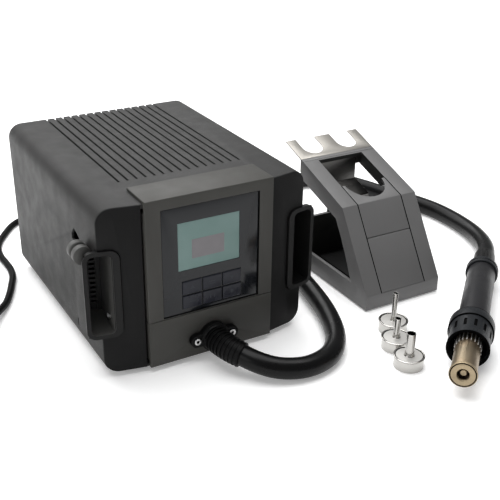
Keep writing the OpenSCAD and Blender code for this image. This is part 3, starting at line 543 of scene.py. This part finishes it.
def coil_points():
    """The stored turns: inwards on the upper layer, down, and outwards on the bench."""
    out = []
    for deg in range(COIL_LEGS[0][0], COIL_LAST + 1, 10):
        start, end = next((a, b) for a, b in zip(COIL_LEGS, COIL_LEGS[1:]) if deg <= b[0])
        t = (deg - start[0]) / (end[0] - start[0])
        r = start[1] + (end[1] - start[1]) * t
        z = start[2] + (end[2] - start[2]) * t * t * (3 - 2 * t)
        a = math.radians(-deg)
        out.append((COIL_AT[0] + r * math.cos(a), COIL_AT[1] + r * math.sin(a), z))
    return out


def make_hose():
    path = smooth_path(HOSE_POINTS, 5.0)
    me = tube_mesh("air_hose_tube", path, HOSE_D / 2, 28)
    hose = bpy.data.objects.new("air_hose_tube", me)
    scene.collection.objects.link(hose)
    me.materials.append(MATS["hose"])
    sharpen(me, 50)
    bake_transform(hose)
    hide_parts("air_hose")


def make_lead():
    route = CORD_POINTS + coil_points() + [COIL_EXIT] + TAIL_POINTS
    path = smooth_path(route, 3.5)
    me = tube_mesh("mains_lead", path, LEAD_D / 2, 14)
    cord = add("mains_lead", me, "station", "cord", 50)
    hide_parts("mains_cord", "cord_coil")
    plug = make_plug()
    tie = make_tie()


def make_plug():
    """A round plug with a ribbed bend relief, a gripped body and two pins."""
    place = Matrix.Translation(PLUG_AT) @ Matrix.Rotation(math.radians(-90), 4, "X")
    body = [(0, 0), (4.8, 0)]
    for k in range(5):
        groove, rib, z = 5.0 + k * 0.3, 5.9 + k * 0.28, k * 4.4
        body += [(groove, 2 + z), (rib, 2.6 + z), (rib, 4.6 + z), (groove, 5.2 + z)]
    body += [(6.4, 24), (9, 26.5), (13.5, 33), (15.5, 37), (15.5, 46), (17.2, 49), (17.2, 61.4), (16.4, 62)]
    body += [(0, 62)]

    def grip(a, h):
        return 1 - 0.035 * (0.5 + 0.5 * math.cos(18 * a)) if 37 < h < 46.5 else 1.0

    me = lathe_mesh("plug_body", rounded(body, 0.7, 2), place, 108, grip)
    o = add("plug_body", me, "station", "black", 40)
    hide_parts("mains_plug")
    pin = [(0, 0), (2.4, 0), (2.4, 17.2), (2.1, 18.4), (1.4, 19.0), (0, 19.1)]
    for side, x in (("left", -9.5), ("right", 9.5)):
        me = lathe_mesh("plug_pin", pin, place @ Matrix.Translation((x, 0, 61.9)), 32)
        p = add("plug_pin_" + side, me, "station", "screw", 40)
        p.parent = o
        p.matrix_parent_inverse = o.matrix_world.inverted()
    return o


def make_tie():
    """A fabric strap round the coil's section."""
    angle = math.radians(135)
    outline = rounded_rect(28.2, -0.2, 29.6, 16.6, 5.5, 6)
    inner = rounded_rect(29.2, 0.6, 27.6, 15.0, 4.8, 6)
    bm = bmesh.new()
    rings = []
    for shift, ring in ((-5.5, outline), (5.5, outline), (5.5, inner), (-5.5, inner)):
        row = []
        for r, z in ring:
            z = max(z, 0.05)
            x = COIL_AT[0] + r * math.cos(angle) - shift * math.sin(angle)
            y = COIL_AT[1] + r * math.sin(angle) + shift * math.cos(angle)
            row.append(bm.verts.new(at((x, y, z))))
        rings.append(row)
    n = len(outline)
    for i in range(4):
        p, q = rings[i], rings[(i + 1) % 4]
        for k in range(n):
            m = (k + 1) % n
            bm.faces.new((p[k], p[m], q[m], q[k]))
    return add("cord_tie", finished_mesh("cord_tie", bm), "station", "velcro", 40)


# ---------------------------------------------------------------- station

FLANGE_SCREW_X, FLANGE_Z, FLANGE_HEAD_Y = 18, 23, -6.4
WINDOW_HALF, WINDOW_Z0, WINDOW_Z1 = 48.5, 53.2, 158.5  # half its width, and its lower and upper edge
# The window's seams are near-black strips of painted shade.
SHADE_SEAM_BACK, MARK_BACK = 0.3, -0.78  # y of the back of the window's seams and of the buttons' marks


def lit_pocket_faces(c, n):
    """Faces of the left handle that look into its finger pocket, which get painted light: a paler copy of the
    handle's plastic where light falls in.
    """
    return (n.x < -0.5 and -98 < c.x < -84 and c.z < 128) or (n.z > 0.3 and c.z < 75 and c.y > 6)


def shaded_screw_socket(c, n):
    """Faces inside the sockets of the flange's two screws, which get painted shade."""
    off_axis = math.hypot(abs(c.x) - FLANGE_SCREW_X, c.z - FLANGE_Z)
    return off_axis < 1.9 and c.y > FLANGE_HEAD_Y + 0.4


def make_station():
    refined("housing_shell", "station", "housing", 0.0004)
    refined("base_tray", "station", "housing", 0.0004)
    refined("front_wing_left", "station", "wing", 0.0003)
    refined("front_wing_right", "station", "wing", 0.0003)
    left = refined("handle_left", "station", "handle", 0.0014, 4)
    # The left pocket's walls and floor get painted light.
    second_finish(left, "pocket", lit_pocket_faces)
    refined("handle_right", "station", "handle", 0.0014, 4)
    refined("handle_screws", "station", "screw", 0.0003)
    refined("upper_panel", "station", "panel", 0.0006)
    refined("lower_panel", "station", "panel", 0.0006)
    refined("hose_flange", "station", "black", 0.0008)
    screws = refined("flange_screws", "station", "screw", 0.0004)
    # The screws' sockets get painted shade.
    second_finish(screws, "painted_shade", shaded_screw_socket)
    refined("cable_hook", "station", "hook", 0.0003)
    refined("hose_relief", "station", "rubber", 0.0004)
    refined("rear_panel", "station", "wing", 0.0003)
    refined("air_filter_grille", "station", "black", 0.0004)
    refined("rear_screws", "station", "screw", 0.0002)
    refined("switch_body", "station", "black", 0.0004)
    refined("power_rocker", "rocker", "red", 0.0004)
    refined("fuse_holder", "station", "black", 0.0004)
    refined("station_feet", "station", "rubber", 0.0006)
    for i in range(1, 7):
        refined(f"button_{i}", f"key_{i}", "button", 0.0007, 4)


def make_display():
    """The window, the lit screen behind it and the paler field on the screen."""
    refined("display_window", "station", "glass", 0.00015, 2, merge=False)
    refined("lcd_module", "station", "lcd", 0.0002)
    inner = plate_mesh("screen_field", rounded_rect(-19.5, 106.6, 32.3, 18.6, 0.6), 0.12, front_plane(0.7))
    add("screen_field", inner, "station", "lcd_inner", 30)


def make_window_shade_seam():
    """Painted shade: near-black strips along the right and lower edges of the window, where it sits deepest
    in the panel.
    """
    high = WINDOW_Z1 - WINDOW_Z0 + 0.1
    right = rounded_rect(WINDOW_HALF - 1.2, WINDOW_Z0 - 0.1, 1.4, high, 0.3, 2)
    low = rounded_rect(-WINDOW_HALF - 0.1, WINDOW_Z0 - 0.3, 2 * WINDOW_HALF + 0.2, 0.9, 0.3, 2)
    for side, outline in (("right", right), ("low", low)):
        me = plate_mesh("seam", outline, 0.34, front_plane(SHADE_SEAM_BACK))
        add("window_shade_seam_" + side, me, "station", "painted_shade", 30)


def make_marks():
    """Small printed pictograms on the buttons: arrows, bars and a ring."""
    shapes = [
        [[(-2.6, -1.6), (2.6, -1.6), (0, 2.2)]],
        [rounded_rect(-3.2, 0.6, 6.4, 1.0, 0.3, 2), rounded_rect(-3.2, -1.6, 6.4, 1.0, 0.3, 2)],
        [[(-2.6, 1.8), (0, -2.0), (2.6, 1.8)]],
        [rounded_rect(-3.0, -0.5, 6.0, 1.0, 0.3, 2)],
        [rounded_rect(-2.6, -1.8, 1.2, 3.6, 0.3, 2), rounded_rect(1.4, -1.8, 1.2, 3.6, 0.3, 2)],
        [rounded_rect(-1.8, -1.8, 3.6, 3.6, 1.7, 5)],
    ]
    for i, parts in enumerate(shapes):
        cx, _, cz = middle(f"button_{i + 1}")
        for k, outline in enumerate(parts):
            me = plate_mesh("mark", [(cx + x, cz + z) for x, z in outline], 0.06, front_plane(MARK_BACK))
            add(f"button_mark_{i + 1}_{k + 1}", me, f"key_{i + 1}", "mark", 30)


def make_inside():
    """Pieces that hardly show keep their CAD shape and get a finish."""
    for node, mat in {
        "display_board": "pcb", "blower_housing": "black", "blower_impeller": "fan", "blower_motor": "steel",
        "air_duct": "black", "transformer": "iron", "control_board": "pcb", "heater_core": "ceramic",
        "stand_base": "wing", "cord_gland": "rubber", "stand_feet": "rubber", "stand_screws": "screw",
    }.items():
        me = NODES[node].data
        me.materials.clear()
        me.materials.append(MATS[mat])


# ---------------------------------------------------------------- handpiece, stand and nozzles

HANDPIECE = (Matrix.Translation((158.2, -166.7, 25.1)) @ Matrix.Rotation(math.radians(42.5), 4, "Z")
             @ Matrix.Rotation(math.radians(92.1), 4, "Y"))
# How many there are, and how far the first is turned in degrees
COLLAR_SLOTS, SLOT_TURN = 13, 17
HEATER_FINS, FIN_TURN = 20, 3.75
SLOT_MIDDLE = 64.5  # along the handpiece, from its outlet


def boxes_round(name, place, count, radius, size):
    """Boxes spaced evenly round a local z axis: radius is their centre, size radial, across and along."""
    bm = bmesh.new()
    for k in range(count):
        turn = place @ Matrix.Rotation(2 * math.pi * (k + 0.25) / count, 4, "Z") @ Matrix.Translation(radius)
        corners = [bm.verts.new(at(turn @ Vector((x * size[0] / 2, y * size[1] / 2, z * size[2] / 2))))
                   for x in (-1, 1) for y in (-1, 1) for z in (-1, 1)]
        for face in ((0, 1, 3, 2), (4, 6, 7, 5), (0, 4, 5, 1), (2, 3, 7, 6), (0, 2, 6, 4), (1, 5, 7, 3)):
            bm.faces.new([corners[i] for i in face])
    return finished_mesh(name, bm)


def on_handpiece(c):
    """A point as its distance from the handpiece's axis and its place along it."""
    p = HANDPIECE.inverted() @ c
    return math.hypot(p.x, p.y), p.z


def shaded_collar_slot(c, n):
    """Walls and floors of the collar's slots, all that isn't the collar's own outer skin, which get painted
    shade.
    """
    spot = HANDPIECE.inverted() @ c
    facing = HANDPIECE.to_3x3().inverted() @ n
    away = spot.to_2d().normalized().dot(facing.to_2d())
    radius, along = on_handpiece(c)
    return abs(along - SLOT_MIDDLE) < 7 and (18 < radius < 19.6 or (away < 0.7 and radius > 18))


# Faces in the disc's groove, which get painted shade.
def shaded_disc_groove(c, n):
    radius, along = on_handpiece(c)
    return 10.7 < radius < 12 and 0.25 < along < 1.3


def make_outlet():
    """The outlet disc with its groove, whose faces get painted shade, and the ceramic's end in its middle."""
    profile = [(5.4, 2.6), (5.4, 0.8), (6.2, 0), (10.8, 0), (10.8, 1.2), (11.9, 1.2), (11.9, 0), (12.3, 0),
               (12.6, 0.4), (12.6, 2.6)]
    me = lathe_mesh("outlet_disc", rounded(profile, 0.2), HANDPIECE)
    disc = add("outlet_disc_finished", me, "handpiece", "disc")
    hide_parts("outlet_disc")
    second_finish(disc, "painted_shade", shaded_disc_groove)
    tip = lathe_mesh("outlet_tip", [(0, 3.6), (2.6, 3.6), (3.2, 4.2), (3.2, 7.8), (0, 7.8)], HANDPIECE, 48)
    add("outlet_tip", tip, "handpiece", "disc", 40)


def make_handpiece():
    refined("heater_tube", "handpiece", "heater", 0.0002)
    between = HANDPIECE @ Matrix.Rotation(math.radians(FIN_TURN), 4, "Z")
    fins = boxes_round("fins", between, HEATER_FINS, (12, 0, 50), (1, 0.8, 13))
    add("heater_fins", fins, "handpiece", "plate_steel", 30)
    turned = HANDPIECE @ Matrix.Rotation(math.radians(SLOT_TURN), 4, "Z")
    slots = boxes_round("slots", turned, COLLAR_SLOTS, (20.6, 0, SLOT_MIDDLE), (4.2, 2.9, 12))
    collar = refined("front_collar", "handpiece", "collar", 0.0003, 2, cut=slots)
    # Painted shade on the slots' walls and floors and over the collar's front end.
    second_finish(collar, "painted_shade", lambda c, n: shaded_collar_slot(c, n) or on_handpiece(c)[1] < 47.2)
    # Near-black sheets over the slot floors and in the collar's two seams are painted shade.
    floors = boxes_round("slot_floors", turned, COLLAR_SLOTS, (18.8, 0, SLOT_MIDDLE), (0.8, 2.8, 11.8))
    add("collar_slot_shade_floors", floors, "handpiece", "painted_shade", 30)
    for name, z, r in (("front", 77.6, 21.74), ("back", 90.2, 21.72)):
        seam = lathe_mesh("seam", [(20.2, z), (r, z), (r, z + 0.7), (20.2, z + 0.7)], HANDPIECE)
        add("collar_shade_seam_" + name, seam, "handpiece", "painted_shade", 30)
    refined("grip_tube", "handpiece", "grip", 0.0004)
    refined("rear_collar", "handpiece", "collar", 0.0004)
    refined("grip_boot", "handpiece", "rubber", 0.0006)


STAND_LEFT, STAND_RIGHT, STAND_STRIP = 175.5, 270.5, 18.8  # its sides, and the width of its side strips
# The front of the stand's bent sheet, as (y, z) and the direction out of it, from the foot to past the bend
STAND_FRONT = (((-5, 17.3), (-0.841, 0.54)), ((46.5, 97.5), (-0.62, 0.78)), ((75, 106.96), (-0.315, 0.949)))


def in_stand_shade(c, n):
    """Faces of the stand's sheet that look into the stand or into a seam, which get painted shade: a darker
    copy of the stand's paint.
    """
    if not STAND_LEFT + 1 < c.x < STAND_RIGHT - 1:
        return False
    return abs(n.x) > 0.9 or n.z < -0.4 or (n.y < -0.9 and c.y > 100) or (n.y > 0.6 and c.y < 90)


def make_stand():
    sheet = refined("stand_frame", "stand", "stand", 0.0007)
    # The inward faces get painted shade.
    second_finish(sheet, "stand_inside", in_stand_shade)
    for node in ("stand_cradle", "stand_front"):
        second_finish(refined(node, "stand", "stand", 0.0005), "stand_inside", in_stand_shade)
    refined("stand_guard", "stand", "guard", 0.0003)
    refined("nozzle_comb", "stand", "comb", 0.0003)


def make_stand_shade_seams():
    """Painted shade: near-black strips in the seams between the stand's side strips and its middle panels,
    following the bend.
    """
    def along(proud):
        return [(y + ny * proud, z + nz * proud) for (y, z), (ny, nz) in STAND_FRONT]

    width = 1.1
    for side, x in (("left", STAND_LEFT + STAND_STRIP + 0.35), ("right", STAND_RIGHT - STAND_STRIP - 0.35)):
        sideways = Matrix(((0, 0, 1, x - width / 2), (1, 0, 0, 0), (0, 1, 0, 0), (0, 0, 0, 1)))
        band = plate_mesh("seam", along(0.06) + along(-0.6)[::-1], width, sideways)
        add("stand_shade_seam_" + side, band, "stand", "painted_shade", 30)


CUP_RADIUS, CUP_HEIGHT = 14.25, 12


def nozzle_profile(bore, tip):
    """Half section of a nozzle: a cup with a beaded rim and a groove in its plate, and the outlet pipe."""
    wall, rim, inner = CUP_RADIUS - 0.2, CUP_RADIUS + 0.6, CUP_RADIUS - 0.9
    return [(inner, 0), (wall, 0), (wall, CUP_HEIGHT - 1.8), (rim, CUP_HEIGHT - 1), (rim, CUP_HEIGHT - 0.3),
            (wall, CUP_HEIGHT + 0.1), (inner, CUP_HEIGHT - 0.2), (inner, CUP_HEIGHT - 1.1),
            (CUP_RADIUS - 1.7, CUP_HEIGHT - 1.1), (CUP_RADIUS - 1.7, CUP_HEIGHT - 0.6),
            (bore + 1.3, CUP_HEIGHT - 0.6), (bore + 0.8, CUP_HEIGHT + 0.4), (bore + 0.5, CUP_HEIGHT + 1.6),
            (bore + 0.5, tip), (bore, tip), (bore, CUP_HEIGHT - 1.5), (inner, CUP_HEIGHT - 1.5)]


def make_nozzle(name, body, bore):
    x, y, _ = middle("nozzle_" + name)
    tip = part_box("nozzle_" + name)[1][2] * 1000

    def off_axis(c):
        return math.hypot(c.x - x, c.y - y)

    def on_plate(c, n):
        return n.z > 0.8 and c.z < CUP_HEIGHT and bore + 1.3 < off_axis(c) < CUP_RADIUS - 1.6

    # Faces in the plate's groove and in the bore, which get painted shade.
    def shaded_groove_or_bore(c, n):
        groove = CUP_HEIGHT - 1.2 < c.z < CUP_HEIGHT and CUP_RADIUS - 1.75 < off_axis(c) < CUP_RADIUS - 0.85
        return groove or off_axis(c) < bore + 0.05

    me = lathe_mesh("nozzle", rounded(nozzle_profile(bore, tip), 0.3), Matrix.Translation((x, y, 0)))
    o = add(f"nozzle_{name}_finished", me, body, "steel")
    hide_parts("nozzle_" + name)
    second_finish(o, "plate_steel", on_plate)
    second_finish(o, "painted_shade", shaded_groove_or_bore)


make_camera()
make_stage()
make_lights()
make_hose()
make_lead()
make_station()
make_display()
make_window_shade_seam()
make_marks()
make_inside()
make_outlet()
make_handpiece()
make_stand()
make_stand_shade_seams()
make_nozzle("slim", "nozzle_a", 2.1)
make_nozzle("medium", "nozzle_b", 2.7)
make_nozzle("wide", "nozzle_c", 3.9)

scene.view_settings.view_transform = "Standard"
